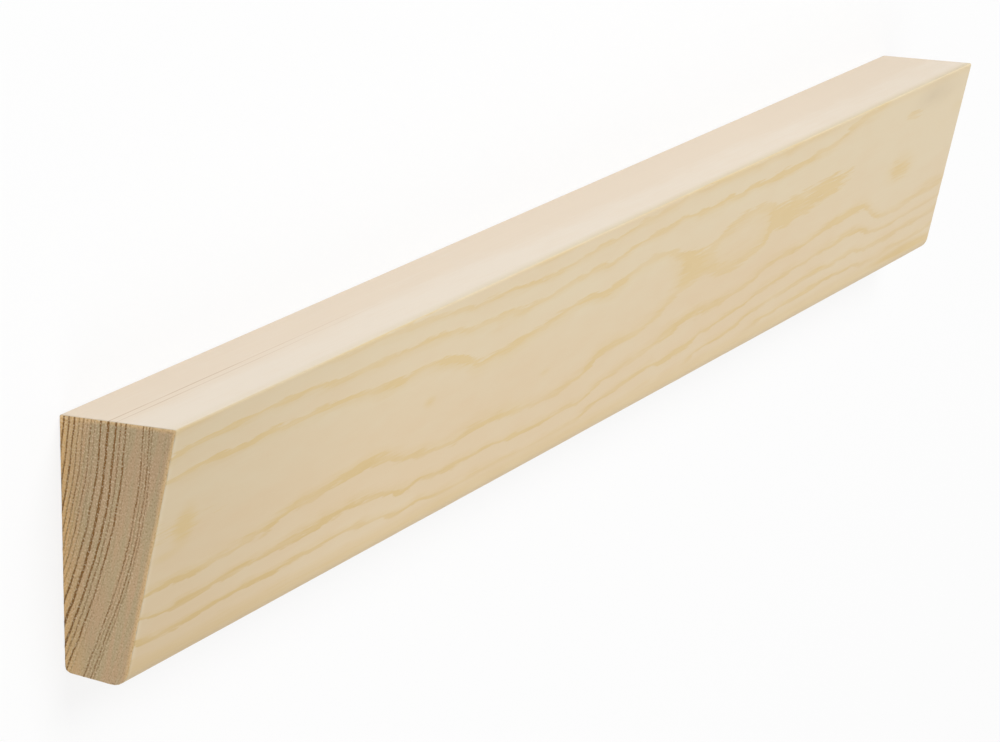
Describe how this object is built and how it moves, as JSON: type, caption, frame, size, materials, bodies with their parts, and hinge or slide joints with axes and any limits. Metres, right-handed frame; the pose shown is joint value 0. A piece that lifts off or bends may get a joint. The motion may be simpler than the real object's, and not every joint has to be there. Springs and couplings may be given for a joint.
{
  "type": "ceiling moulding",
  "caption": "Straight stick of planed pine with a wedge section: a flat back for the wall, a wide edge for the ceiling, a sloping face to the room and a rounded toe.",
  "frame": {"origin": "middle of the flat back, under the middle of the outline, with the back lying on the floor", "axes": "+X along the stick, +Y towards the wide edge that meets the ceiling, +Z out of the wall towards the sloping face"},
  "size_m": [0.35, 0.043, 0.021],
  "materials": {
    "pine": "planed and left bare, with sawn ends"
  },
  "bodies": {
    "root": {"ceiling_moulding": "pine"}
  },
  "joints": []
}
